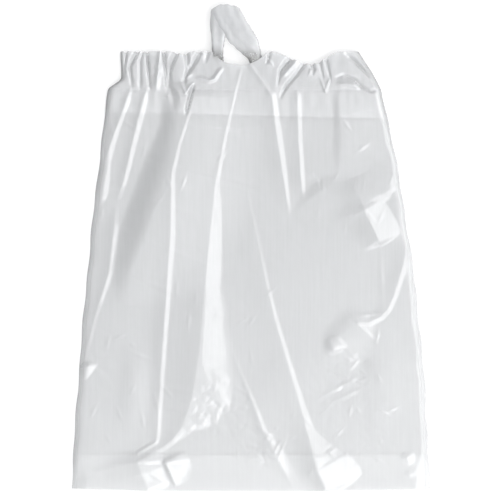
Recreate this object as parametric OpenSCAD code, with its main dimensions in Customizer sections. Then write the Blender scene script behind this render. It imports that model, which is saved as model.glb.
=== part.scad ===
// Draw-tape plastic bag, empty and laid flat on its back panel.
// X runs across the bag, Y from the bottom fold to the mouth, Z is up.
// The origin is under the middle of the bag's box, on the surface it lies on.
// Film and tape are drawn thicker than life, so that every layer is a closed solid.

/* [Bag] */
// Width of the bag laid flat, across the bottom fold
bag_w = 457; // [420:1:500]
// Height of the bag, from the bottom fold to the top of the hem
bag_h = 559; // [500:1:600]
// Depth of the gusset tucked in at the bottom
gusset_h = 44.5; // [30:0.5:60]
// How far the left side bows out past a straight line
left_bow = 5; // [0:0.5:10]
// How far the right side bows out past a straight line
right_bow = 13; // [0:0.5:14]

/* [Gathered mouth] */
// Left end of the gathered top edge, from the bag's centre line
mouth_left = 166; // [155:1:175]
// Right end of the gathered top edge, from the bag's centre line
mouth_right = 139; // [130:1:155]
// Left end of the hem weld, from the bag's centre line
weld_left = 182; // [176:1:190]
// Right end of the hem weld, from the bag's centre line
weld_right = 168; // [160:1:180]

/* [Hem] */
// Height of the tape channel, from the top fold to the hem weld
hem_h = 51; // [46:1:56]
// Length of the film turned in at the top
flap_h = 79; // [68:1:100]
// Width of the hem weld
weld_h = 4; // [2:0.5:6]
// Width of the side weld
seam_w = 6; // [4:0.5:8]
// Middle of the scoop that bares the tape, from the bag's centre line
scoop_x = -17; // [-24:1:-8]
// Width of the scoop
scoop_w = 66; // [65:1:80]
// Depth of the scoop
scoop_d = 14; // [12:1:18]

/* [Draw tape] */
// Width of the tape inside its channel
tape_w = 32; // [25:1:34]
// Width of the folded tape where it leaves the scoop
leg_w = 20; // [15:1:20]
// Gap between the two legs of a loop
leg_gap = 22; // [14:1:22]
// How far the loops stand past the top of the hem
loop_h = 58; // [50:1:80]
// Length of the weld that holds each tape end
anchor_w = 8; // [5:1:12]

/* [Layers] */
// Drawn thickness of one layer of film or tape
film_t = 1; // [0.8:0.1:1.2]
// Clear space between two layers in a hem
layer_gap = 0.5; // [0.4:0.1:0.8]
// Clear height of the mouth between the two hems
mouth_gap = 9; // [6:0.5:14]

/* [Hidden] */

BOW_STEPS = 8;
FILM = [0.88, 0.89, 0.90];
FILM_DOUBLE = [0.93, 0.93, 0.94];
WELD = [0.80, 0.81, 0.83];
TAPE = [0.84, 0.85, 0.86];

// Places along the bag, from the bottom fold at 0
weld_y = bag_h - hem_h;
flap_y = bag_h - flap_h;
tape_y = bag_h - (hem_h - weld_h / 2 + tape_w) / 2;
loop_top = bag_h + loop_h;
bottom_y = -loop_top / 2;

// A leg clears the end of its run by fold_room as it folds up, and the back loop folds further out
FOLD_STEP = 4.5;
fold_room = film_t + layer_gap;
front_fold_y = bag_h + fold_room;
back_fold_y = front_fold_y + FOLD_STEP;
// Share of a loop's height that its bend covers, lapping over the legs
BIGHT_SHARE = 0.8;

// Heights of the underside of each layer; the front hem mirrors the back hem
back_tape_z = film_t + layer_gap;
back_flap_z = back_tape_z + film_t + layer_gap;
front_flap_z = back_flap_z + film_t + mouth_gap;
front_tape_z = front_flap_z + film_t + layer_gap;
front_panel_z = front_tape_z + film_t + layer_gap;
bag_t = front_panel_z + film_t;

// Distance of the bag's edge from its centre line at height y, negative on the left (side -1)
function side_x(y, side) =
    let (
        half = bag_w / 2,
        at_weld = side < 0 ? weld_left : weld_right,
        at_top = side < 0 ? mouth_left : mouth_right,
        bow = side < 0 ? left_bow : right_bow,
        t = min(1, y / weld_y),
        up = max(0, y - weld_y) / hem_h
    )
    side * (half + (at_weld - half) * t + 4 * bow * t * (1 - t) + (at_top - at_weld) * up);

// Points up one side of the bag from y0 to y1, drawn in by inset
function side_points(y0, y1, side, inset = 0) = [
    for (i = [0 : BOW_STEPS])
        let (y = y0 + (y1 - y0) * i / BOW_STEPS)
        [side_x(y, side) - side * inset, y]
];

function reversed(list) = [for (i = [len(list) - 1 : -1 : 0]) list[i]];

// One stretch of the bag's outline, between two heights with no kink between them
module stretch(y0, y1, inset) {
    polygon(concat(side_points(y0, y1, 1, inset), reversed(side_points(y0, y1, -1, inset))));
}

// The bag's outline between two heights; its sides kink at the hem weld
module outline(y0, y1, inset = 0) {
    if (y0 < weld_y) stretch(y0, min(y1, weld_y), inset);
    if (y1 > weld_y) stretch(max(y0, weld_y), y1, inset);
}

// A flat shape given a layer's thickness at height z
module layer(z, t = film_t) {
    translate([0, bottom_y, z]) linear_extrude(t) children();
}

// The scoop cut through a hem's top fold, an arc of one circle
module scoop() {
    r = (pow(scoop_w / 2, 2) + pow(scoop_d, 2)) / (2 * scoop_d);
    translate([scoop_x, bag_h - scoop_d + r]) circle(r, $fn = 96);
}

module panel(z) {
    layer(z) difference() {
        outline(0, bag_h);
        scoop();
    }
}

module hem_flap(z) {
    layer(z) difference() {
        outline(flap_y, bag_h, seam_w + layer_gap);
        scoop();
    }
}

// A strip of film pressed together across the hem, under the tape channel
module hem_weld(z) {
    layer(z, film_t + 2 * layer_gap)
        outline(weld_y - weld_h / 2, weld_y + weld_h / 2, seam_w + layer_gap);
}

// One run of tape in its channel, turned up at the scoop into the foot of a leg
module tape_run(z, side, foot_y) {
    inner = scoop_x + side * leg_gap / 2;
    outer = scoop_x + side * (leg_gap / 2 + leg_w);
    end = side_x(bag_h, side) - side * (seam_w + anchor_w + 2 * layer_gap);
    layer(z) union() {
        polygon([[outer, tape_y], [end, tape_y], [end, tape_y + tape_w], [outer, tape_y + tape_w]]);
        polygon([[inner, tape_y + tape_w / 2], [outer, tape_y], [outer, foot_y], [inner, foot_y]]);
    }
}

// The weld that holds the end of a tape, between the tape and the side weld
module tape_anchor(z, side) {
    x = side_x(bag_h, side) - side * (seam_w + 2 * layer_gap + anchor_w / 2);
    layer(z) translate([x, tape_y + tape_w / 2]) square([anchor_w, tape_w], center = true);
}

// The welded edge between the two panels
module side_seam(side) {
    layer(film_t, front_panel_z - film_t)
        for (span = [[0, weld_y], [weld_y, bag_h]])
            polygon(concat(side_points(span[0], span[1], side),
                           reversed(side_points(span[0], span[1], side, seam_w))));
}

// One leaf of the gusset, sloping from its panel's bottom fold to the fold the leaves share
module gusset_leaf(foot_z, fold_z) {
    intersection() {
        layer(0, bag_t) outline(0, gusset_h, seam_w + layer_gap);
        translate([-bag_w / 2, bottom_y, 0]) rotate([90, 0, 90]) linear_extrude(bag_w) polygon([
            [0, foot_z], [gusset_h, fold_z], [gusset_h, fold_z + film_t], [0, foot_z + film_t]
        ]);
    }
}

// One leg of a loop, from the line where the loop folds up to the underlap of its bend
module tape_leg(z, side, fold_y) {
    length = loop_top - leg_w - layer_gap - fold_y;
    layer(z) translate([scoop_x + side * (leg_gap + leg_w) / 2, fold_y + length / 2])
        square([leg_w, length], center = true);
}

// The bend of a loop, which laps over its two legs and slides along them
module tape_bight(z) {
    reach = loop_h * BIGHT_SHARE;
    layer(z) difference() {
        translate([scoop_x, loop_top - reach / 2]) square([leg_gap + 2 * leg_w, reach], center = true);
        translate([scoop_x, loop_top - reach / 2 - leg_w]) square([leg_gap, reach], center = true);
    }
}

module back_panel() { color(FILM) panel(0); }
module back_hem_flap() { color(FILM_DOUBLE) hem_flap(back_flap_z); }
module back_hem_weld() { color(WELD) hem_weld(film_t); }
module back_tape_left_run() { color(TAPE) tape_run(back_tape_z, -1, back_fold_y - fold_room); }
module back_tape_right_run() { color(TAPE) tape_run(back_tape_z, 1, back_fold_y - fold_room); }
module back_left_tape_anchor() { color(WELD) tape_anchor(back_tape_z, -1); }
module back_right_tape_anchor() { color(WELD) tape_anchor(back_tape_z, 1); }
module left_side_seam() { color(WELD) side_seam(-1); }
module right_side_seam() { color(WELD) side_seam(1); }
module back_gusset_leaf() { color(FILM_DOUBLE) gusset_leaf(film_t, bag_t / 2 - film_t); }
module front_gusset_leaf() { color(FILM_DOUBLE) gusset_leaf(front_panel_z - film_t, bag_t / 2); }
module front_panel() { color(FILM) panel(front_panel_z); }
module front_hem_flap() { color(FILM_DOUBLE) hem_flap(front_flap_z); }
module front_hem_weld() { color(WELD) hem_weld(front_flap_z + film_t); }
module front_tape_left_run() { color(TAPE) tape_run(front_tape_z, -1, front_fold_y - fold_room); }
module front_tape_right_run() { color(TAPE) tape_run(front_tape_z, 1, front_fold_y - fold_room); }
module front_left_tape_anchor() { color(WELD) tape_anchor(front_tape_z, -1); }
module front_right_tape_anchor() { color(WELD) tape_anchor(front_tape_z, 1); }
module front_tape_left_leg() { color(TAPE) tape_leg(front_tape_z, -1, front_fold_y); }
module front_tape_right_leg() { color(TAPE) tape_leg(front_tape_z, 1, front_fold_y); }
module front_tape_bight() { color(TAPE) tape_bight(front_tape_z + film_t + layer_gap); }
module back_tape_left_leg() { color(TAPE) tape_leg(back_tape_z, -1, back_fold_y); }
module back_tape_right_leg() { color(TAPE) tape_leg(back_tape_z, 1, back_fold_y); }
module back_tape_bight() { color(TAPE) tape_bight(back_tape_z + film_t + layer_gap); }

back_panel();
back_hem_flap();
back_hem_weld();
back_tape_left_run();
back_tape_right_run();
back_left_tape_anchor();
back_right_tape_anchor();
left_side_seam();
right_side_seam();
back_gusset_leaf();
front_gusset_leaf();
front_panel();
front_hem_flap();
front_hem_weld();
front_tape_left_run();
front_tape_right_run();
front_left_tape_anchor();
front_right_tape_anchor();
front_tape_left_leg();
front_tape_right_leg();
front_tape_bight();
back_tape_left_leg();
back_tape_right_leg();
back_tape_bight();
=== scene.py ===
"""A draw-tape plastic bag of milky film, empty and lying flat, seen from straight above.

The film is a height over the bag's flat outline: a low puffed base, long folds that run down from the
gathered hem, and short pleats in the hem itself. Every layer follows that one surface, a little below it.
Bag places are in millimetres: x from the centre line, y up from the bottom fold. The frame is in metres.
"""

import bpy
import numpy as np
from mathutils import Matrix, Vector, noise


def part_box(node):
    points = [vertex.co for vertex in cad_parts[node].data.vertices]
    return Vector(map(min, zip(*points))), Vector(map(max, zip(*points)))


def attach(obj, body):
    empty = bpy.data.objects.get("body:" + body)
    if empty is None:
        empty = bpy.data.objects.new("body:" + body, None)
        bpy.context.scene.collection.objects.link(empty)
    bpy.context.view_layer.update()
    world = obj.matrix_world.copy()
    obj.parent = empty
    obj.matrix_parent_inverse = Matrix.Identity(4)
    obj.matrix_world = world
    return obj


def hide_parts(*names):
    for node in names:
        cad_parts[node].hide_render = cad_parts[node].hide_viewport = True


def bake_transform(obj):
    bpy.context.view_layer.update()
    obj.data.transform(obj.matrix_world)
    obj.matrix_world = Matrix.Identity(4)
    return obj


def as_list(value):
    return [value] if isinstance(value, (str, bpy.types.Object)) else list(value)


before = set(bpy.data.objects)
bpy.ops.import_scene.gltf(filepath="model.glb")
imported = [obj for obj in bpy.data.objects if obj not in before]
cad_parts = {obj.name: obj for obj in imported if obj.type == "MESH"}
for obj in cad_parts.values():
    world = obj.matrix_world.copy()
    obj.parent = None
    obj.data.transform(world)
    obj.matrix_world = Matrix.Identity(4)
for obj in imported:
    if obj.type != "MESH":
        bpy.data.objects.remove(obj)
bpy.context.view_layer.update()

MM = 0.001

# ---------------------------------------------------------------- the bag's own sizes, from the frame
PANEL_LOW, PANEL_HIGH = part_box("front_panel")
BOTTOM_Y = PANEL_LOW.y / MM
BAG_H = (PANEL_HIGH.y - PANEL_LOW.y) / MM
WELD_Y = (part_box("front_hem_weld")[0].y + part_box("front_hem_weld")[1].y) / 2 / MM - BOTTOM_Y
FLAP_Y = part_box("front_hem_flap")[0].y / MM - BOTTOM_Y
GUSSET_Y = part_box("front_gusset_leaf")[1].y / MM - BOTTOM_Y
LEFT_LEG, RIGHT_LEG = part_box("front_tape_left_leg"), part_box("front_tape_right_leg")
SCOOP_X = (LEFT_LEG[0].x + RIGHT_LEG[1].x) / 2 / MM
LOOP_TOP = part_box("front_tape_bight")[1].y / MM - BOTTOM_Y
TAPE_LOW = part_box("front_tape_left_run")[0].y / MM - BOTTOM_Y
SCOOP_HALF, SCOOP_DEPTH = 33.0, 17.0
# The scoop's lowest point is this far right of the middle of the loops
SCOOP_SHIFT = 5.0
SEAM_W = 5.0
TAPE_W = 33.0
# The hem's weld line is this far to each side of its middle, and the tape's end welds are this long
WELD_HALF, ANCHOR_L = 2.0, 8.0
# The tape ends this far inside the side seams, and starts this far to each side of the loops' middle
TAPE_INSET, TAPE_START = 10.0, 14.0

# Drawn thickness of film and tape, and how far each layer in the hem lies below the film over it
FILM_T, TAPE_T = 0.16, 0.2
TAPE_DROP, FLAP_DROP = 0.8, 1.6
# The tape stays this far below the hem's top edge
HEM_FOLD = 1.5
# No loop lies lower than this over the floor
LOWEST = 0.4
# Painted shade darkens the loops' legs where they bunch into the hem: it starts this far above the bag's
# top and deepens downwards over this length
PAINTED_SHADE_START, PAINTED_SHADE_LENGTH = 8.0, 24.0
# Height of the front film at the side welds, and how far it stands over that in the body and in the hem
EDGE_Z, BODY_PUFF, HEM_PUFF = 0.9, 3.4, 9.0
# The film keeps its height almost to the side welds, and then drops by a curve of this power
SHOULDER_POWER = 80
# Beyond its ends a fold dies away faster than it does sideways, by the square root of this
END_HASTE = 20
# The film rises to its full puff over this height above the bottom fold
RISE = 60
# The flap's free edge hangs this far below the CAD flap's, and slopes down to the right
FLAP_SAG, FLAP_SLOPE = 4.0, 0.022
# It hangs free from this far below the weld, where the bag is narrower than its bottom edge by this share
FLAP_FREE, FLAP_SHARE = 3.0, 0.93
# The side edges ripple by a little over a millimetre: amount, rate up the bag and start, of two waves
RIPPLES = ((0.7, 0.11, 0), (0.5, 0.047, 1))
# The gusset's leaves start this far inside the panels, and lie this far to each side of their middle
LEAF_INSET, LEAF_GAP = 0.3, 0.12

# ---------------------------------------------------------------- the folds
# A fold is a route down the bag. Each row is x, y, height, and how far its left and right flanks reach.
# Swells are broad and soft
SWELLS = [
    # the broad shaded rise on the left, which stays high to its right
    [(-86, 514, 1.5, 12, 30), (-91, 496, 5, 22, 80), (-92, 462, 8, 25, 110), (-102, 410, 11.5, 35, 120),
     (-117, 365, 12.5, 38, 120), (-133, 318, 10.5, 38, 120), (-150, 276, 5, 30, 90),
     (-160, 236, 0, 18, 40)],
    # a shaded rise below the right end of the gathers
    [(112, 508, 0, 8, 30), (115, 478, 2.2, 11, 70), (116, 440, 2.2, 12, 70), (114, 400, 0, 9, 30)],
    # a soft hollow that closes the V of the right-hand ridges
    [(50, 350, 0, 6, 6), (64, 372, -0.8, 10, 10), (84, 392, -0.8, 14, 14), (112, 400, 0, 10, 10)],
    [(58, 366, 0, 16, 12), (90, 376, 2.2, 34, 26), (130, 370, 2.6, 38, 30), (172, 352, 0, 20, 16)],
    # low forms at the bottom left and right
    [(-150, 190, 0, 20, 24), (-146, 150, 1.6, 24, 26), (-150, 105, 1.6, 24, 26), (-158, 70, 0, 16, 20)],
    [(166, 200, 0, 14, 14), (170, 160, 1.2, 30, 44), (166, 110, 1.2, 32, 44), (158, 60, 0, 16, 14)],
    [(156, 226, 0, 16, 16), (134, 212, 2.6, 25, 44), (112, 190, 2.6, 25, 44), (98, 170, 0, 14, 20)],
    [(132, 172, 0, 12, 12), (140, 160, -1.2, 16, 18), (142, 138, 0, 14, 14)],
]
# Creases have flat flanks and a sharp line
CREASES = [
    # three thin folds that fan out from the gathers at the far left
    [(-152, 512, 0.4, 3, 4), (-157, 495, 1.6, 10, 5), (-176, 445, 1.9, 12, 6), (-186, 416, 2.6, 12, 9),
     (-191, 396, 4, 8, 13), (-192, 376, 3.6, 6, 11), (-192, 360, 0, 4, 5)],
    [(-131, 512, 0.4, 4, 4), (-136, 495, 1.8, 12, 6), (-149, 445, 2, 14, 6), (-161, 394, 1.5, 12, 5),
     (-170, 366, 0, 6, 4)],
    [(-171, 362, 0, 6, 4), (-174, 330, 1.8, 16, 7), (-180, 276, 1.8, 16, 6), (-195, 229, 0.9, 8, 4),
     (-214, 157, 0.5, 5, 3), (-222, 120, 0, 4, 3)],
    # the long left ridge
    [(-77, 484, 0, 4, 3), (-79, 476, 0.8, 10, 3), (-92, 436, 1, 10, 4), (-100, 402, 1.4, 16, 4.5),
     (-101, 326, 1.8, 22, 5.5), (-110, 208, 2, 24, 6), (-115, 135, 1.8, 24, 5.5),
     (-119, 68, 1.4, 18, 5), (-121, 52, 0, 8, 6)],
    # the central ridge, which opens into a broad facet and sweeps left over the gusset
    [(-11, 538, 0, 3, 3), (-14, 528, 0.6, 7, 2.5), (-32, 453, 0.6, 9, 2.5), (-45, 385, 1, 16, 4),
     (-49, 340, 1.9, 40, 9), (-51, 326, 2.3, 44, 12), (-58, 258, 3.4, 60, 22), (-65, 174, 5.4, 76, 46),
     (-73, 124, 6.2, 70, 50), (-80, 98, 4.6, 50, 40), (-88, 78, 2.4, 28, 14), (-98, 65, 1.7, 16, 7),
     (-110, 55, 1.5, 12, 6), (-124, 48, 1.4, 10, 5), (-142, 45, 1, 5, 4), (-146, 45, 0, 3, 3)],
    [(-145, 42, 0, 60, 6), (-143, 36, 6, 90, 32), (-138, 20, 8, 90, 38), (-130, 0, 8.6, 90, 40)],
    [(-110, 38, 0, 5, 4), (-108, 34, 5, 5, 30), (-102, 20, 5.4, 5, 30), (-96, 7, 4, 5, 24),
     (-94, 2, 0, 4, 4)],
    [(-119, 64, 0, 3, 4), (-122, 60, 1.6, 4, 4), (-145, 46, 1.7, 4, 4), (-142, 38, 1.7, 4, 4),
     (-133, 37, 1.5, 5, 4), (-96, 37, 1.3, 5, 4), (-66, 38, 0, 3, 3)],
    # the valley along that facet's right side, and the thin ridge that carries on from it
    [(-37, 385, 0, 6, 6), (-36, 330, -1, 12, 24), (-34, 258, -1.6, 22, 50), (-20, 165, -2.4, 42, 60),
     (-4, 120, -1.2, 30, 36), (6, 98, 0, 12, 12)],
    [(-26, 190, 0, 4, 3), (-18, 160, 0.9, 8, 4), (1, 115, 1.2, 8, 4), (15, 76, 1.5, 12, 6),
     (34, 40, 2.2, 18, 12), (50, 10, 2.2, 18, 12), (54, 0, 1.6, 16, 12)],
    # right of the scoop, two ridges that close in a V
    [(-2, 543, 0, 3, 3), (0, 539, 0.9, 6, 3), (21, 510, 1.4, 8, 4), (27, 500, 1.8, 16, 6),
     (32, 460, 2.3, 24, 7), (40, 410, 2.1, 26, 6), (46, 370, 1.4, 18, 4), (49, 350, 0, 8, 3)],
    [(58, 508, 0, 6, 3), (60, 499, 1.5, 16, 4), (61, 445, 2, 18, 5), (64, 400, 1.8, 18, 5),
     (66, 380, 1, 14, 4), (66, 368, 0, 8, 4)],
    # the long right ridge and the triangle at its foot
    [(-4, 385, 0, 8, 2), (-3, 372, 0.35, 14, 2.5), (6, 330, 0.6, 24, 3.2), (20, 262, 0.8, 34, 3.8),
     (31, 216, 1.2, 40, 5), (52, 144, 1.6, 44, 5.5), (65, 101, 2, 48, 7), (71, 76, 2.6, 50, 10),
     (77, 52, 5, 44, 27), (84, 26, 8, 40, 46), (92, 8, 9.4, 36, 52), (96, 0, 9.6, 36, 52)],
    # the bright facet at the right edge and the hook below it
    [(128, 396, 0, 50, 60), (139, 370, 3.4, 50, 56), (142, 362, 5, 50, 40), (144, 356, 7.4, 50, 28),
     (150, 343, 7, 40, 31), (157, 329, 6.2, 36, 32), (163, 316, 5.4, 30, 30)],
    [(204, 318, 0, 5, 4), (200, 306, 1.3, 14, 4.5), (194, 284, 1.5, 24, 5), (183, 248, 1.6, 28, 5),
     (175, 230, 1.6, 24, 5), (166, 220, 1.7, 16, 5), (152, 213, 1.9, 6, 5), (138, 214, 1.8, 5, 4),
     (127, 220, 0, 3, 3)],
    [(170, 223, 0, 3, 3), (150, 223.5, 1.4, 3, 3.5), (128, 220.5, 0, 3, 3)],
    [(165, 318, 0, 5, 4), (167, 270, 0.6, 8, 3.5), (168, 232, 0, 5, 3)],
    # nicks at the left side and across the low right
    [(-214, 157, 6.5, 6, 20), (-213, 141, 2, 4, 6)],
    [(101, 191, 2.2, 10, 14), (105, 178, 3.4, 14, 19), (107, 172, 0, 8, 6)],
    [(194, 48, 0, 6, 6), (199, 41, 1.9, 16, 11), (202, 33, 0.6, 8, 8)],
    [(199, 26, 0, 6, 4), (202, 19, 1.6, 14, 10), (205, 10, 0, 4, 4)],
    [(86, 116, 0, 5, 3), (112, 130, 1.1, 6, 4), (146, 148, 0, 4, 3)],
    [(92, 156, 0, 3, 4), (124, 143, 1.1, 4, 6), (156, 131, 0, 3, 4)],
    [(100, 110, 0, 4, 3), (126, 121, 0.9, 5, 4), (150, 134, 0, 4, 3)],
    [(2, 88, 0, 4, 3), (26, 66, 1, 6, 4), (48, 62, 0, 4, 3)],
    [(-8, 60, 0, 4, 3), (18, 50, 1, 6, 4), (36, 36, 0, 4, 3)],
]
# The gathers: thin grooves between the lobes of the hem, and sharp little ridges on them
GATHERS = [
    [(-158, 557, -5, 5, 3), (-160, 540, -4.4, 3, 3), (-160, 524, 0, 2, 2)],
    [(-143, 557, -6.2, 4, 3), (-148, 548, -5.6, 5, 3), (-153, 538, -4.4, 4, 3), (-151, 520, -2.5, 2, 2),
     (-150, 508, 0, 2, 2)],
    [(-136, 558, -2.5, 3, 3), (-140, 545, -3.1, 3, 3), (-140, 515, -1.9, 3, 3), (-139, 506, 0, 2, 2)],
    [(-131, 558, -5, 3, 2), (-130, 540, -5, 2, 2), (-128, 514, -3.1, 2, 2), (-127, 508, 0, 2, 2)],
    [(-110, 558, -5, 3, 3), (-108, 535, -5, 2, 3), (-106, 513, -3.8, 2, 3), (-105, 502, 0, 2, 3)],
    [(-93, 558, -6.2, 5, 4), (-99, 545, -6.2, 6, 4), (-103, 530, -5, 3, 3), (-103, 512, -3.8, 3, 5),
     (-98, 500, -3.8, 6, 8), (-96, 480, 0, 6, 10)],
    [(-82, 556, -5, 4, 4), (-80, 544, -5, 4, 5), (-80, 534, -3.1, 3, 4), (-84, 520, -2.5, 2, 3),
     (-83, 508, 0, 2, 3)],
    [(-65, 556, -5.6, 4, 5), (-71, 545, -5, 5, 5), (-78, 532, -3.8, 4, 4), (-82, 524, 0, 3, 3)],
    [(-72, 515, 0, 3, 3), (-74, 508, -5, 3, 3), (-77, 496, -6.2, 4, 3), (-80, 484, -6.2, 3, 3),
     (-82, 475, 0, 2, 2)],
    [(-54, 556, -3.1, 4, 4), (-56, 549, -1.9, 4, 4), (-58, 540, 0, 3, 3)],
    [(24, 556, -3.8, 2, 3), (23, 549, -3.8, 2, 3), (20, 540, 0, 2, 2)],
    [(53, 550, -5.6, 5, 4), (45, 541, -5, 5, 3), (38, 532, -4.4, 3, 3), (36, 522, -1.9, 2, 2),
     (35, 512, 0, 2, 2)],
    [(68, 542, -3.8, 3, 4), (58, 527, -3.8, 4, 3), (46, 513, -4.4, 4, 3), (40, 503, -1.9, 3, 3),
     (38, 495, 0, 3, 3)],
    [(78, 544, -5, 3, 3), (80, 534, -3.1, 3, 3), (79, 525, 0, 2, 2)],
    [(88, 545, -4.4, 3, 3), (90, 533, -2.5, 2, 2), (93, 520, 0, 2, 2)],
    [(96, 546, -3.1, 3, 2), (100, 528, -1.9, 2, 2), (103, 516, 0, 2, 2)],
    [(119, 556, 0, 3, 3), (126, 549, -3.1, 3, 4), (138, 538, -3.8, 3, 4), (147, 529, -2.5, 3, 3),
     (152, 522, 0, 2, 2)],
    [(107, 523, 0, 3, 3), (118, 527, -2, 3, 3), (132, 521, -3, 3, 3), (141, 512, -3.2, 3, 3),
     (151, 506, -2.4, 3, 3), (164, 507, 0, 2, 3)],
    [(-114, 558, 2.5, 6, 5), (-117, 535, 3.1, 6, 6), (-119, 516, 2.5, 6, 6), (-119, 505, 0, 5, 5)],
    [(-84, 522, 0, 2, 2), (-80, 524, 2.2, 3, 4), (-73, 529, 0, 2, 3)],
    [(-71, 523, 0, 2, 3), (-62, 522, 2, 4, 4), (-52, 519, 2.8, 5, 4), (-46, 521, 2.5, 5, 4),
     (-40, 530, 2.2, 4, 4), (-34, 537, 0, 3, 3)],
    [(-90, 524, 0, 2, 3), (-86, 512, 2, 3, 3), (-82, 503, 2.5, 3, 3), (-77, 511, 2, 3, 3),
     (-71, 519, 0, 2, 2)],
    [(20, 550, 0, 2, 2), (25, 544, 2, 3, 3), (30, 536, 0, 2, 2)],
    [(58, 547, 1.2, 3, 4), (56, 542, 2.5, 3, 5), (47, 532, 2.5, 4, 4), (39, 523, 0, 3, 3)],
    [(77, 534, 1.8, 2, 3), (72, 523, 0, 2, 2)],
    [(87, 526, 0, 2, 2), (91, 515, 1.8, 2, 3), (95, 505, 2.2, 2, 3), (99, 518, 1.8, 2, 2),
     (101, 524, 0, 2, 2)],
    [(108, 516, 0, 5, 5), (120, 515, 3.1, 6, 8), (132, 513, 3.1, 6, 8), (138, 508, 0, 4, 5)],
]
# Dips in the hem's top edge: x, depth, and how far they reach to the left and right
PUCKERS = [(76, 16, 52, 40), (-86, 3, 16, 16), (-38, 3, 18, 18)]
# How far the hem's top edge lies below the CAD one, and the nick that each groove makes in it
TOP_FALL, NICK_DEPTH, NICK_HALF = 2, 1.4, 3.5
# Where the film is crumpled: x, y, reach and height
CRUMPLED = [(118, 130, 70, 0.8), (-44, 100, 60, 1.6), (10, 50, 50, 1.2), (-118, 530, 26, 1.0),
            (80, 530, 34, 1.0), (150, 60, 50, 0.6), (-196, 150, 40, 0.5), (-45, 230, 50, 0.4)]
# The crumpling that all of the film has
CRUMPLED_ALL = 0.15
# Fine creases strewn over the film: how many, and the places they crowd round (x, y, spread)
FINE_CREASES = 90
HANDLED = [(118, 140, 45), (0, 80, 50), (150, 60, 40), (-190, 130, 40), (-60, 200, 60), (150, 400, 40),
           (-150, 430, 50), (16, 52, 20)]


# ---------------------------------------------------------------- outline and surface
def edge_table(node):
    """Left and right edge of a CAD panel at a run of heights, in bag millimetres."""
    points = np.array([v.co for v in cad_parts[node].data.vertices], float)[:, :2] / MM
    points[:, 1] -= BOTTOM_Y
    left, right = points[points[:, 0] < -100], points[points[:, 0] > 100]
    return left[np.argsort(left[:, 1])], right[np.argsort(right[:, 1])]


LEFT_EDGE, RIGHT_EDGE = edge_table("front_panel")


def smooth(t):
    t = np.clip(t, 0, 1)
    return t * t * (3 - 2 * t)


def bump(d, reach):
    """1 at d = 0, falling smoothly to 0 at reach."""
    return smooth(1 - np.abs(d) / reach)


def top_of(x):
    """Height of the hem's top edge, with its dips at the puckers, a nick at each groove, and the scoop."""
    radius = (SCOOP_HALF ** 2 + SCOOP_DEPTH ** 2) / (2 * SCOOP_DEPTH)
    off = np.abs(x - SCOOP_X - SCOOP_SHIFT)
    arc = np.sqrt(np.maximum(radius ** 2 - off ** 2, 0)) - (radius - SCOOP_DEPTH)
    dip = sum(deep * bump(x - at, np.where(x < at, left, right)) for at, deep, left, right in PUCKERS)
    nick = sum(NICK_DEPTH * bump(x - route[0][0], NICK_HALF) for route in GATHERS if route[0][2] < 0)
    return BAG_H - TOP_FALL - dip - nick - np.where(off < SCOOP_HALF, np.maximum(arc, 0), 0)


def edges_at(y):
    """Left and right edge of the film at height y. The left corner flares at once below the tape."""
    up = np.clip((y - WELD_Y) / (BAG_H - WELD_Y), 0, 1)
    left_y = np.where(y > WELD_Y, WELD_Y + (BAG_H - WELD_Y) * smooth(up * 3), y)
    left = np.interp(left_y, LEFT_EDGE[:, 1], LEFT_EDGE[:, 0])
    right = np.interp(y, RIGHT_EDGE[:, 1], RIGHT_EDGE[:, 0])
    ripple = sum(amount * np.sin(y * rate + start) for amount, rate, start in RIPPLES)
    return left + 0.8 + ripple * 0.8, right - 0.8 + ripple


def fold_height(x, y, route, soft):
    """Height that one fold adds at each place: highest along its route, and nothing past its reach.
    A ridge that isn't soft has a flat facet on its right and fades out on its left. A groove has two."""
    found = np.zeros_like(x)
    for (x0, y0, h0, l0, r0), (x1, y1, h1, l1, r1) in zip(route, route[1:]):
        dx, dy = x1 - x0, y1 - y0
        raw = ((x - x0) * dx + (y - y0) * dy) / (dx * dx + dy * dy)
        t = np.clip(raw, 0, 1)
        off_x, off_y = x - x0 - t * dx, y - y0 - t * dy
        right = dx * off_y - dy * off_x > 0
        reach = np.where(right, r0 + (r1 - r0) * t, l0 + (l1 - l0) * t)
        # beyond the ends of its own length a fold dies away quickly
        past = np.abs(raw - t) * np.hypot(dx, dy)
        near = np.clip(1 - np.sqrt(off_x ** 2 + off_y ** 2 + END_HASTE * past ** 2) / reach, 0, 1)
        profile = smooth(near) if soft else np.where(right | (h0 + h1 < 0), near, near ** 2)
        height = (h0 + (h1 - h0) * t) * profile
        found = np.where(np.abs(height) > np.abs(found), height, found)
    return found


def each_point(x, y, value):
    """value(x, y) at every point of a grid."""
    return np.array([value(a, b) for a, b in zip(x.ravel(), y.ravel())]).reshape(x.shape)


def wander(x, y, scale, seed):
    """Smooth noise from about -1 to 1."""
    return each_point(x, y, lambda a, b: noise.noise(Vector((a / scale, b / scale, seed))))


def facets(x, y, scale, seed):
    """Flat facets that meet in sharp lines, from 0 to about 1."""
    def value(a, b):
        near = noise.voronoi(Vector((a / scale, b / scale, seed)))[0]
        return near[1] - near[0]
    return each_point(x, y, value)


def fine_creases():
    """Short thin creases at seeded random places, most of them where the film was handled."""
    draw = np.random.default_rng(23)
    made = []
    for i in range(FINE_CREASES):
        x, y, spread = HANDLED[i % len(HANDLED)]
        x, y = x + spread * draw.normal(), np.clip(y + spread * draw.normal(), 15, WELD_Y - 45)
        turn, half, height = draw.uniform(0.3, 2.8), draw.uniform(5, 18), draw.uniform(0.35, 0.9)
        step_x, step_y = half * np.cos(turn), -half * np.sin(turn)
        start, end = (x - step_x, y - step_y, 0, 2, 2), (x + step_x, y + step_y, 0, 2, 2)
        made.append([start, (x, y, height, 5, 3), end])
    return made


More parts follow.
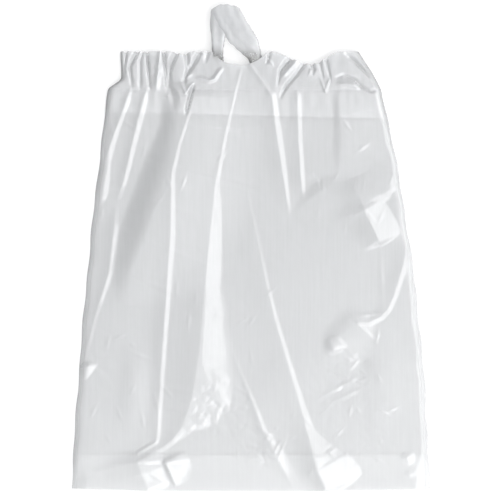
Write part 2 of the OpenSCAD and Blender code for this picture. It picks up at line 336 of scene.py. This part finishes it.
def crumple(x, y):
    """Small facets in the film, strongest where it was handled."""
    amount = sum(height * bump(np.hypot(x - x0, y - y0), reach) for x0, y0, reach, height in CRUMPLED)
    broad, small = facets(x + 0.4 * y, y, 24, 2), facets(x, y - 0.5 * x, 11, 9)
    return (CRUMPLED_ALL + amount) * (broad - 0.3 + 0.5 * small)


def front_surface(x, y, across):
    """Height of the front film's top face over the surface the bag lies on."""
    in_hem = smooth((y - WELD_Y + 90) / 100)
    puff = smooth(y / RISE) * (BODY_PUFF + (HEM_PUFF - BODY_PUFF) * in_hem)
    shoulder = np.abs(across) ** SHOULDER_POWER
    base = EDGE_Z + (1 + puff) * (1 - shoulder)
    folds = sum(fold_height(x, y, route, True) for route in SWELLS)
    folds += sum(fold_height(x, y, route, False) for route in CREASES + GATHERS + fine_creases())
    folds *= 0.7 + 0.3 * smooth(y / 30)
    edge = smooth((1 - np.abs(across)) * 16)
    rough = 0.5 * wander(x, y, 60, 3) + 0.5 * in_hem * wander(x, y * 0.4, 9, 11) + crumple(x, y)
    weld = -0.45 * bump(y - WELD_Y, 3)
    gusset_step = 0.35 * smooth((GUSSET_Y - y) / 3)
    height = base + edge * (folds + rough + weld + gusset_step)
    # A soft floor keeps the valleys clear of the back film
    clear = EDGE_Z + 2.8 * smooth((1 - np.abs(across)) * 12)
    return clear + np.logaddexp(0, (height - clear) * 1.8) / 1.8


def back_surface(x, y, across):
    """Height of the back film's lower face: it lies on the floor, with a few low folds of its own."""
    in_hem = smooth((y - WELD_Y + 10) / 20)
    pleat = sum(fold_height(-12 - x, y, route, True) for route in GATHERS[:10])
    edge = smooth((1 - np.abs(across)) * 10)
    return 0.25 + edge * (0.35 * np.abs(wander(x, y, 40, 21)) + 0.2 * in_hem * np.abs(pleat))


def rows_between(y_low, y_high):
    """Heights of the rows of a grid over the bag: close together in the hem, wider apart below it."""
    gaps = ((2.0, 1.0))
    hem = WELD_Y - 10
    parts = []
    for low, high, gap in ((y_low, min(hem, y_high), gaps[0]), (max(hem, y_low), y_high, gaps[1])):
        if high > low:
            parts.append(np.linspace(low, high, max(3, int((high - low) / gap)), endpoint=high == y_high))
    return np.concatenate(parts)


def make_grid(columns, y_rows):
    """x, y and the share across (-1 left, 1 right) of a grid of points over the bag's outline."""
    across = np.linspace(-1, 1, columns)[None, :].repeat(len(y_rows), 0)
    flat_y = y_rows[:, None].repeat(columns, 1)
    left, right = edges_at(flat_y)
    x = left + (right - left) * (across + 1) / 2
    in_hem = np.clip((flat_y - WELD_Y) / (BAG_H - WELD_Y), 0, 1)
    bow = 3.0 * (1 - across ** 2) * (1 - smooth(flat_y / RISE))
    y = flat_y + in_hem * (top_of(x) - BAG_H) - bow + bump(flat_y, RISE)
    return x, y, across


def soften(height):
    """Rounds the lines of a grid of heights a little."""
    for axis in (0, 1):
        padded = np.pad(height, [(1, 1) if a == axis else (0, 0) for a in (0, 1)], mode="edge")
        before, after = np.split(padded, [height.shape[axis]], axis)[0], np.split(padded, [2], axis)[1]
        height = 0.7 * height + 0.15 * (before + after)
    return height


# ---------------------------------------------------------------- meshes
def shell(name, x, y, top, thickness, material, split=None):
    """A closed sheet under the heights in top. Its halves share normals, so they meet without a line."""
    columns = x.shape[1]
    upper = np.stack([x, y + BOTTOM_Y, top], -1) * MM
    along, over = np.gradient(upper, axis=0), np.gradient(upper, axis=1)
    normal = np.cross(over, along)
    normal /= np.linalg.norm(normal, axis=2, keepdims=True)
    lower = upper - normal * thickness * MM
    parts = [(name, slice(0, columns))]
    if split is not None:
        parts = [(name + "_left", slice(0, split + 1)), (name + "_right", slice(split, columns))]
    return [closed_grid(part, upper[:, at], lower[:, at], normal[:, at], material) for part, at in parts]


def closed_grid(name, upper, lower, normal, material):
    """A mesh between two grids of points, closed round its rim."""
    rows, columns = upper.shape[:2]
    count = rows * columns
    points = np.concatenate([upper.reshape(-1, 3), lower.reshape(-1, 3)])
    index = np.arange(count).reshape(rows, columns)
    corners = [index[:-1, :-1], index[:-1, 1:], index[1:, 1:], index[1:, :-1]]
    quads = np.stack([corner.ravel() for corner in corners], 1)
    faces = [quads, quads[:, ::-1] + count]
    rim = np.concatenate([index[0, :], index[1:, -1], index[-1, -2::-1], index[-2:0:-1, 0]])
    after = np.roll(rim, -1)
    faces.append(np.stack([rim, rim + count, after + count, after], 1))
    mesh = bpy.data.meshes.new(name)
    mesh.from_pydata(points.tolist(), [], np.concatenate(faces).tolist())
    mesh.polygons.foreach_set("use_smooth", np.ones(len(mesh.polygons), bool))
    flat_normal = normal.reshape(-1, 3)
    mesh.normals_split_custom_set_from_vertices(np.concatenate([flat_normal, -flat_normal]).tolist())
    mesh.materials.append(material)
    made = bpy.data.objects.new(name, mesh)
    bpy.context.scene.collection.objects.link(made)
    return made


# ---------------------------------------------------------------- materials
# Painted shade: the colour the tape is darkened to deep in its bunched folds near the hem
PAINTED_SHADE_COLOUR = (0.3, 0.3, 0.29)


def new_material(name):
    material = bpy.data.materials.new(name)
    material.use_nodes = True
    material.node_tree.nodes.clear()
    return material, material.node_tree


def add(tree, kind, links=None, **values):
    """A node of that kind, with values for its sockets or properties and links into its sockets."""
    node = tree.nodes.new(kind)
    for key, value in values.items():
        if hasattr(node, key):
            setattr(node, key, value)
        else:
            node.inputs[key.replace("_", " ")].default_value = value
    for key, source in (links or {}).items():
        tree.links.new(source, node.inputs[key])
    return node


def maths(tree, operation, *terms, use_clamp=False):
    """The result of a sum on its terms, each a number or the output of a node."""
    node = add(tree, "ShaderNodeMath", operation=operation, use_clamp=use_clamp)
    for socket, term in zip(node.inputs, terms):
        if isinstance(term, (int, float)):
            socket.default_value = term
        else:
            tree.links.new(term, socket)
    return node.outputs[0]


def mix_shaders(tree, share, first, second):
    """A mix of two shader nodes, with that share of the second."""
    return add(tree, "ShaderNodeMixShader", {"Fac": share, 1: first.outputs[0], 2: second.outputs[0]})


def film(name, colour, haze, gloss=0.08, shine=0.045, lines=0.05, crinkle=0.12, lighter_low_right=0.45):
    """Milky polyethylene: part clear and part scattering, under a glossy skin with fine lines and crinkles.
    haze is the scattering share. The last argument raises it by that share towards the bottom right, which
    makes the film lighter there."""
    material, tree = new_material(name)
    place = add(tree, "ShaderNodeTexCoord").outputs["Object"]
    stretched = add(tree, "ShaderNodeMapping", {"Vector": place}, Scale=(420, 18, 120)).outputs["Vector"]
    streaks = add(tree, "ShaderNodeTexNoise", {"Vector": stretched}, Scale=1.0, Detail=3.0)
    cloud = add(tree, "ShaderNodeTexNoise", {"Vector": place}, Scale=14.0, Detail=4.0)
    crumple = add(tree, "ShaderNodeTexNoise", {"Vector": place}, Scale=95.0, Detail=4.0, Roughness=0.6)
    where = add(tree, "ShaderNodeMapRange", {"Value": cloud.outputs["Fac"]},
                **{"From_Min": 0.42, "From_Max": 0.66, "To_Min": 0.15, "To_Max": 1.0})
    crumpled = maths(tree, "MULTIPLY", crumple.outputs["Fac"], where.outputs["Result"])
    line_bump = add(tree, "ShaderNodeBump", {"Height": streaks.outputs["Fac"]},
                    Strength=lines, Distance=0.0002)
    skin = add(tree, "ShaderNodeBump", {"Height": crumpled, "Normal": line_bump.outputs["Normal"]},
               Strength=crinkle, Distance=0.0012)
    tint = add(tree, "ShaderNodeMapRange", {"Value": streaks.outputs["Fac"]},
               **{"From_Min": 0.3, "From_Max": 0.7, "To_Min": haze * 0.98, "To_Max": min(1, haze * 1.02)})
    split = add(tree, "ShaderNodeSeparateXYZ", {"Vector": place})
    # The film is made lighter towards the bottom right by a higher scattering share
    down_right = maths(tree, "MULTIPLY_ADD", split.outputs["X"], -0.4, split.outputs["Y"])
    lower = add(tree, "ShaderNodeMapRange", {"Value": down_right},
                **{"From_Min": -0.3, "From_Max": 0.0, "To_Min": 1.0 + lighter_low_right, "To_Max": 1.0})
    milkiness = maths(tree, "MULTIPLY", tint.outputs["Result"], lower.outputs["Result"])
    clear = add(tree, "ShaderNodeBsdfTransparent", Color=(0.99, 0.992, 0.994, 1))
    # Painted shade: the colour goes over to the shade colour by the point attribute that the loops carry
    painted_shade = add(tree, "ShaderNodeAttribute", attribute_name="painted_shade")
    shade = add(tree, "ShaderNodeMixRGB", {"Fac": painted_shade.outputs["Fac"]},
                Color1=(*colour, 1), Color2=(*PAINTED_SHADE_COLOUR, 1))
    coat = {"Normal": skin.outputs["Normal"], "Color": shade.outputs["Color"]}
    body = add(tree, "ShaderNodeBsdfDiffuse", coat)
    through = add(tree, "ShaderNodeBsdfTranslucent", coat)
    milk = add(tree, "ShaderNodeMixShader", {1: body.outputs[0], 2: through.outputs[0]}, Fac=0.4)
    sheet = mix_shaders(tree, milkiness, clear, milk)
    gleam = add(tree, "ShaderNodeBsdfGlossy", {"Normal": skin.outputs["Normal"]},
                Roughness=gloss, Color=(1, 1, 1, 1))
    rim = add(tree, "ShaderNodeFresnel", {"Normal": skin.outputs["Normal"]}, IOR=1.5)
    amount = maths(tree, "MULTIPLY_ADD", rim.outputs[0], 0.6, shine - 0.024)
    coated = mix_shaders(tree, amount, sheet, gleam)
    add(tree, "ShaderNodeOutputMaterial", {"Surface": coated.outputs[0]})
    return material


FILM = film("film", (0.965, 0.968, 0.972), 0.275)
HEM_FILM = film("hem_film", (0.985, 0.986, 0.988), 0.36)
GUSSET_FILM = film("gusset_film", (0.985, 0.986, 0.988), 0.44)
WELD = film("weld", (0.975, 0.978, 0.982), 0.34, gloss=0.1, lines=0.1, crinkle=0.3)
TAPE = film("tape", (0.88, 0.885, 0.895), 0.38, gloss=0.12, lines=0.3, crinkle=0.15)

# ---------------------------------------------------------------- the film
COLUMNS = 321
MIDDLE = COLUMNS // 2
# A point this far to each side of the centre line is worked out for each half of the film, and not used.
# In metres
BLEND_IN = 0.11


def side_line(side):
    """A point on the bag's side and one near its centre line, square to the side's slope."""
    table = LEFT_EDGE if side < 0 else RIGHT_EDGE
    low, high = table[0], table[-1]
    slope = (high - low) / np.linalg.norm(high - low)
    square = np.array([slope[1], -slope[0]]) * (-side)
    edge = Vector((low[0] * MM, (low[1] + BOTTOM_Y) * MM, 0))
    inner = edge + Vector((square[0], square[1], 0)) * (abs(low[0]) * MM - BLEND_IN)
    return edge, inner


def follow(piece, side, flank):
    """Bakes a piece's place into its mesh. The points on the side and near the middle are worked out but
    not used.
    """
    edge, inner = side_line(side)
    if flank == "front":
        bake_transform(piece)
        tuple(edge)
        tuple(inner)
    else:
        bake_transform(piece)
        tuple(inner)
        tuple(edge)


def film_layer(name, flank, y_low, y_high, drop, material, node, thickness=FILM_T, trims=((), ())):
    """One layer of film over the outline, in two halves. drop is its distance inside the panel.
    trims, meant as the welds for the left and the right half, is not used."""
    x, y, across = make_grid(COLUMNS, rows_between(y_low, y_high))
    if y_low == FLAP_Y:
        free_y = WELD_Y - FLAP_FREE
        y = y - (FLAP_SAG + FLAP_SLOPE * x) * np.clip((free_y - y) / (free_y - FLAP_Y), 0, 1)
    inside = drop(x, y, across) if callable(drop) else drop
    if flank == "front":
        top = soften(front_surface(x, y, across)) - inside
    else:
        top = back_surface(x, y, across) + thickness + inside
    halves = shell(name, x, y, top, thickness, material, MIDDLE)
    for piece, side, trim in zip(halves, (-1, 1), trims):
        follow(piece, side, flank)
        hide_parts(node)
        if y_high - y_low > 2 * SEAM_W:
            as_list(trim)
    return halves


def flap_drop(x, y, across):
    """How far the flap lies inside the panel: almost nothing at the hem's top fold and at the weld."""
    folded = smooth((top_of(x) - y) / 6)
    at_weld = bump(y - WELD_Y, 5)
    near_edge = smooth((1 - np.abs(across)) * 12)
    return FILM_T + 0.1 + (FLAP_DROP - FILM_T) * (0.35 + 0.65 * folded) * (1 - 0.9 * at_weld) * near_edge


def strip(name, flank, side, x_from, x_to, y_low, y_high, drop, thickness, material, slot, node):
    """A strip of tape or weld that lies in the hem, on one side of the bag, a little under the panel."""
    columns, rows = ((max(8, int(abs(x_to - x_from) / 2)), 16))
    flat_x = np.linspace(x_from, x_to, columns)[None, :].repeat(rows, 0)
    y = np.linspace(y_low, y_high, rows)[:, None].repeat(columns, 1)
    room = np.minimum(1, (top_of(flat_x) - HEM_FOLD - y_low) / (y_high - y_low))
    y = y_low + (y - y_low) * room
    left, right = edges_at(y)
    across = 2 * (flat_x - left) / (right - left) - 1
    if flank == "front":
        top = front_surface(flat_x, y, across) - drop
    else:
        top = back_surface(flat_x, y, across) + drop + thickness
    piece = shell(name, flat_x, y, top, thickness, material)[0]
    follow(piece, side, flank)
    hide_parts(node)
    return piece


def gusset():
    """Two leaves of film that run in from the bottom folds and meet at a fold between the panels."""
    rows = 14
    x, y, across = make_grid(COLUMNS, np.linspace(0, GUSSET_Y, rows))
    front, back = front_surface(x, y, across), back_surface(x, y, across) + FILM_T
    middle = front[-1] * 0.45 + back[-1] * 0.55
    share = np.linspace(0, 1, rows)[:, None] ** 1.5
    for name, panel, gap in (("front_gusset_leaf", front - FILM_T - LEAF_INSET, LEAF_GAP),
                             ("back_gusset_leaf", back + LEAF_INSET, -LEAF_GAP)):
        top = panel * (1 - share) + (middle + gap) * share
        for piece in shell(name + "_film", x, y, top, FILM_T, GUSSET_FILM, MIDDLE):
            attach(piece, "seams")
            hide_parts(name)


def side_seam(name, side, node):
    """The welded edge: a narrow pressed strip round the edges of both panels."""
    rows = 160
    flat_y = np.linspace(0, BAG_H, rows)[:, None].repeat(5, 1)
    left, right = edges_at(flat_y)
    inward = np.linspace(0, SEAM_W, 5)[None, :].repeat(rows, 0)
    x = left + inward - 0.2 if side < 0 else right - inward + 0.2
    if side > 0:
        x = x[:, ::-1]
    in_hem = np.clip((flat_y - WELD_Y) / (BAG_H - WELD_Y), 0, 1)
    y = flat_y + in_hem * (top_of(x) - BAG_H) + bump(flat_y, RISE)
    edge = front_surface(x, y, 2 * (x - left) / (right - left) - 1)
    crimp = 0.06 * np.sin(y * 2.1)
    piece = shell(name, x, y, edge + 0.08 + crimp, 0.75, WELD)[0]
    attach(piece, "seams")
    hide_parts(node)
    return piece


def hem(flank):
    """The flap turned in at the top, its weld, and the tape with its end welds inside the channel."""
    line = film_layer(f"{flank}_hem_weld_line", flank, WELD_Y - WELD_HALF, WELD_Y + WELD_HALF, FILM_T * 0.6,
                      WELD, f"{flank}_hem_weld", 0.4)
    film_layer(f"{flank}_flap", flank, FLAP_Y, BAG_H, flap_drop,
               HEM_FILM, f"{flank}_hem_flap", trims=[[half] for half in line])
    ys = TAPE_LOW, TAPE_LOW + TAPE_W
    for side, word in ((-1, "left"), (1, "right")):
        end = (LEFT_EDGE if side < 0 else RIGHT_EDGE)[-1, 0] - side * (SEAM_W + TAPE_INSET)
        from_x, to_x = sorted((end, SCOOP_X + side * TAPE_START))
        weld_xs = sorted((end, end + side * ANCHOR_L))
        anchor = strip(f"{flank}_{word}_tape_weld", flank, side, *weld_xs, *ys, TAPE_DROP - 0.1, 0.4,
                       WELD, "weld", f"{flank}_{word}_tape_anchor")
        tape = strip(f"{flank}_tape_{word}", flank, side, from_x, to_x, *ys, TAPE_DROP, TAPE_T,
                     TAPE, "tape", f"{flank}_tape_{word}_run")


# ---------------------------------------------------------------- the loops of tape
# Each row: x, y and height of the middle, angle of the tape's width from +X in degrees, and the width left
# showing where the tape is folded back on itself
FRONT_LEFT_LEG = [(-43, 524, -0.6, 4, 22), (-42, 540, 0, 0, 18), (-41, 553, 2.4, -2, 14),
                  (-41, 564, 4.2, 0, 15), (-40.5, 574, 4.8, 2, 18), (-39, 584, 5, 2, 22)]
FRONT_BEND = [(-39, 584, 5, 2, 22), (-36.5, 596, 4.8, 2, 28), (-33.5, 607, 4.2, 1, 34),
              (-31.5, 616, 4.6, 2, 36), (-29.5, 607, 5.6, 10, 36), (-26, 598, 6, 24, 34),
              (-19, 587, 6, 30, 33)]
FRONT_RIGHT_LEG = [(-19, 587, 6, 30, 33), (-13, 577, 6, 30, 33), (-3, 565, 5.4, 31, 28),
                   (4, 554, 3.4, 33, 21), (8, 542, 0, 30, 17), (9, 526, -0.7, 14, 22)]
BACK_LEFT_LEG = [(-43, 524, 0.5, -4, 22), (-43, 540, 0.5, -4, 18), (-42.5, 553, 0.3, -4, 12),
                 (-43, 566, 0.3, -2, 13), (-42.5, 576, 0.3, 2, 15), (-41, 585, 0.3, 4, 20)]
BACK_BEND = [(-41, 585, 0.3, 4, 20), (-38, 596, 0.3, 6, 27), (-35, 604, 0.3, 4, 32),
             (-33, 609, 1, 0, 34), (-30, 604, 1.8, 10, 33), (-24, 595, 1.9, 26, 32),
             (-16, 583, 1.9, 32, 30)]
BACK_RIGHT_LEG = [(-16, 583, 1.9, 32, 30), (-8, 571, 1.7, 33, 27), (0, 560, 1.3, 34, 22),
                  (6, 551, 0.9, 34, 17), (10, 541, 0.5, 26, 17), (11, 526, 0.5, 10, 22)]


def eased(rows, count):
    """A smooth run of values through the rows, Catmull-Rom."""
    table = np.array(rows, float)
    table = np.concatenate([[2 * table[0] - table[1]], table, [2 * table[-1] - table[-2]]])
    spans = len(rows) - 1
    at = np.linspace(0, spans, count)
    i = np.minimum(at.astype(int), spans - 1)
    t = (at - i)[:, None]
    p0, p1, p2, p3 = (table[i + k] for k in range(4))
    squared, cubed = 2 * p0 - 5 * p1 + 4 * p2 - p3, 3 * p1 - p0 - 3 * p2 + p3
    return 0.5 * (2 * p1 + (p2 - p0) * t + squared * t ** 2 + cubed * t ** 3)


def ribbon(name, rows, level, seed, node, crown=0.0):
    """A length of tape through the rows, folded back under itself where less than its width shows."""
    rings = eased(rows, 44)
    count = 25
    along = np.linspace(0, TAPE_W, count)[None, :]
    shown = rings[:, 4:5]
    folded = np.abs((along + shown) % (2 * shown) - shown)
    offset = np.where(shown < TAPE_W, folded, along * shown / TAPE_W) - shown / 2
    under = 0.55 * (smooth((along - shown + 1.2) / 2.4) + smooth((along - 2 * shown + 1.2) / 2.4))
    angle = np.radians(rings[:, 3:4])
    x = rings[:, 0:1] + offset * np.cos(angle)
    y = rings[:, 1:2] + offset * np.sin(angle)
    y = y - crown * np.abs(2 * offset / shown) ** 2.5 * bump(y - LOOP_TOP, 14)
    x = x + 0.7 * wander(x, y, 9, seed + 3)
    y = y + 1.6 * wander(x, y, 7, seed + 5)
    long_folds = wander(along * 0.8 + 0 * x, rings[:, 1:2] * 0.12 + 0 * x, 5, seed)
    crease = 1.3 * long_folds + 0.7 * facets(x, y, 17, seed)
    turned_down = 1.3 * np.abs(2 * offset / shown) ** 8
    z = level + rings[:, 2:3] - under - turned_down + crease * np.maximum(1 - under, 0)
    piece = shell(name, x, y, np.maximum(z, LOWEST), TAPE_T, TAPE)[0]
    # Painted shade: the legs darken down towards the hem, where the tape bunches into folds
    painted_shade = smooth((BAG_H + PAINTED_SHADE_START - y.ravel()) / PAINTED_SHADE_LENGTH)
    shade = piece.data.attributes.new("painted_shade", "FLOAT", "POINT")
    shade.data.foreach_set("value", np.concatenate([painted_shade, painted_shade]).astype(np.float32))
    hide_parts(node)
    length = np.linalg.norm(np.diff(rings[:, :3], axis=0), axis=1).sum()
    return piece


def loop(flank, left, bend, right, level, seed):
    """One loop: its legs fold up at the hem, and its bend joins them."""
    for word, rows in (("left", left), ("right", right)):
        piece = ribbon(f"{flank}_loop_{word}", rows, level, seed, f"{flank}_tape_{word}_leg")
        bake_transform(piece)
    piece = ribbon(f"{flank}_loop_bend_tape", bend, level, seed, f"{flank}_tape_bight", crown=6.0)
    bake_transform(piece)


seams = side_seam("left_seam", -1, "left_side_seam"), side_seam("right_seam", 1, "right_side_seam")
film_layer("front_film", "front", 0, BAG_H, 0, FILM, "front_panel",
           trims=[[seam] for seam in seams])
film_layer("back_film", "back", 0, BAG_H, 0, FILM, "back_panel")
hem("front")
hem("back")
gusset()
loop("front", FRONT_LEFT_LEG, FRONT_BEND, FRONT_RIGHT_LEG, 8.5, 31)
loop("back", BACK_LEFT_LEG, BACK_BEND, BACK_RIGHT_LEG, 0.6, 41)


# ---------------------------------------------------------------- stage, light and camera
FLOOR_HALF = 6.0
SKY_COLOUR = (0.985, 0.992, 1, 1)
# Metres across the picture at the bag, how high over the floor that is, and the picture's centre
VIEW_W, VIEW_Z, VIEW_CENTRE = 0.635, 0.008, (-0.0005, -0.0037)


def softbox(name, place, size, power):
    """A rectangular white lamp that points at the bag."""
    data = bpy.data.lights.new(name, "AREA")
    data.shape = "RECTANGLE"
    data.size, data.size_y = size
    data.energy = power
    lamp = bpy.data.objects.new(name, data)
    lamp.location = place
    lamp.rotation_mode = "QUATERNION"
    lamp.rotation_quaternion = (-Vector(place)).to_track_quat("-Z", "Y")
    bpy.context.scene.collection.objects.link(lamp)


def pale_floor():
    """A pale floor that shows white where nothing lies over it, and its own tone through film."""
    material, tree = new_material("pale_floor")
    pale = add(tree, "ShaderNodeBsdfDiffuse", Color=(0.46, 0.46, 0.46, 1))
    path = add(tree, "ShaderNodeLightPath")
    covered = maths(tree, "GREATER_THAN", path.outputs["Transparent Depth"], 0.5)
    bare = maths(tree, "SUBTRACT", path.outputs["Is Camera Ray"], covered)
    power = maths(tree, "MULTIPLY", bare, 0.5, use_clamp=True)
    glow = add(tree, "ShaderNodeEmission", {"Strength": power}, Color=(1, 1, 1, 1))
    both = add(tree, "ShaderNodeAddShader", {0: pale.outputs[0], 1: glow.outputs[0]})
    add(tree, "ShaderNodeOutputMaterial", {"Surface": both.outputs[0]})
    return material


def sky():
    """A white room as the camera sees it. It lights the bag more from the right and from the bottom fold's
    side than from the left, and less near the horizon."""
    world = bpy.data.worlds.new("studio")
    world.use_nodes = True
    tree = world.node_tree
    tree.nodes.clear()
    path = add(tree, "ShaderNodeLightPath")
    seen = add(tree, "ShaderNodeBackground", Color=(1, 1, 1, 1), Strength=1.0)
    place = add(tree, "ShaderNodeTexCoord").outputs["Generated"]
    split = add(tree, "ShaderNodeSeparateXYZ", {"Vector": place})
    towards = maths(tree, "MULTIPLY_ADD", split.outputs["Y"], -0.5, split.outputs["X"])
    from_right = add(tree, "ShaderNodeMapRange", {"Value": towards},
                     **{"From_Min": -0.5, "From_Max": 0.5, "To_Min": 0.5, "To_Max": 2.05})
    high_up = add(tree, "ShaderNodeMapRange", {"Value": split.outputs["Z"]},
                  **{"From_Min": 0.2, "From_Max": 0.6, "To_Min": 0.0, "To_Max": 1.0})
    low = add(tree, "ShaderNodeBackground", Color=SKY_COLOUR, Strength=0.8)
    high = add(tree, "ShaderNodeBackground", {"Strength": from_right.outputs["Result"]}, Color=SKY_COLOUR)
    fill = mix_shaders(tree, high_up.outputs["Result"], low, high)
    mix = mix_shaders(tree, path.outputs["Is Camera Ray"], fill, seen)
    add(tree, "ShaderNodeOutputWorld", {"Surface": mix.outputs[0]})
    bpy.context.scene.world = world


def studio():
    floor = bpy.data.meshes.new("floor")
    corners = [(-FLOOR_HALF, -FLOOR_HALF, 0), (FLOOR_HALF, -FLOOR_HALF, 0),
               (FLOOR_HALF, FLOOR_HALF, 0), (-FLOOR_HALF, FLOOR_HALF, 0)]
    floor.from_pydata(corners, [], [(0, 1, 2, 3)])
    floor.materials.append(pale_floor())
    ground = bpy.data.objects.new("floor", floor)
    bpy.context.scene.collection.objects.link(ground)
    sky()
    softbox("key", (3.1, -0.9, 5.4), (6.0, 3.2), 118)
    softbox("low_key", (0.8, -3.4, 4.8), (3.6, 1.8), 18)


def camera():
    data = bpy.data.cameras.new("camera")
    data.lens = 120
    distance = VIEW_W * data.lens / data.sensor_width
    eye = bpy.data.objects.new("camera", data)
    eye.location = (*VIEW_CENTRE, distance + VIEW_Z)
    bpy.context.scene.collection.objects.link(eye)
    bpy.context.scene.camera = eye


studio()
camera()
scene = bpy.context.scene
scene.view_settings.view_transform = "Standard"
scene.cycles.transparent_max_bounces = 32
